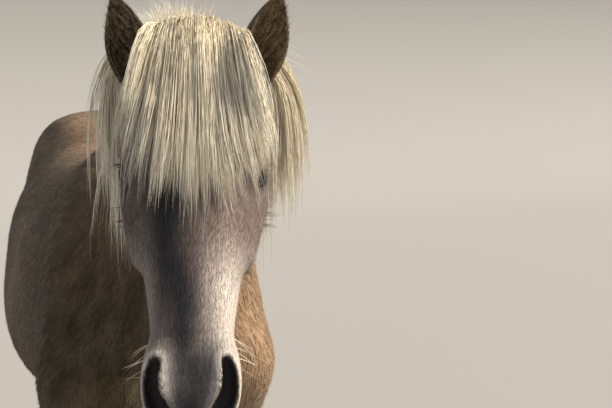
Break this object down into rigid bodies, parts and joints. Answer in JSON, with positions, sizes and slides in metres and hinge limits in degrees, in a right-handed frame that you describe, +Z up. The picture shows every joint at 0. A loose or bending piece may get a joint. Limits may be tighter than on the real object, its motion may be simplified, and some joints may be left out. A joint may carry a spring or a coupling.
{
  "type": "icelandic horse",
  "caption": "Life-size still model of a stocky pony-sized horse with a thick flaxen mane, forelock and tail, standing square with its head turned slightly",
  "frame": {"origin": "on the floor, under the middle of the horse's bounding box", "axes": "+Z is up, the horse faces -Y so +Y runs from head to tail, +X is the horse's left side"},
  "size_m": [0.6194, 2.1126, 1.6402],
  "materials": {
    "coat": "short dense hair, taupe brown",
    "hair": "long coarse flaxen hair",
    "horn": "hoof horn, dull, dark slate brown",
    "eye": "wet, dark brown"
  },
  "bodies": {
    "root": {"torso": "coat", "neck": "coat", "head": "coat", "ear_left": "coat", "ear_right": "coat", "eye_left": "eye", "eye_right": "eye", "tail": "hair", "foreleg_left": "coat", "foreleg_right": "coat", "hindleg_left": "coat", "hindleg_right": "coat", "forehoof_left": "horn", "forehoof_right": "horn", "hindhoof_left": "horn", "hindhoof_right": "horn"}
  },
  "joints": []
}
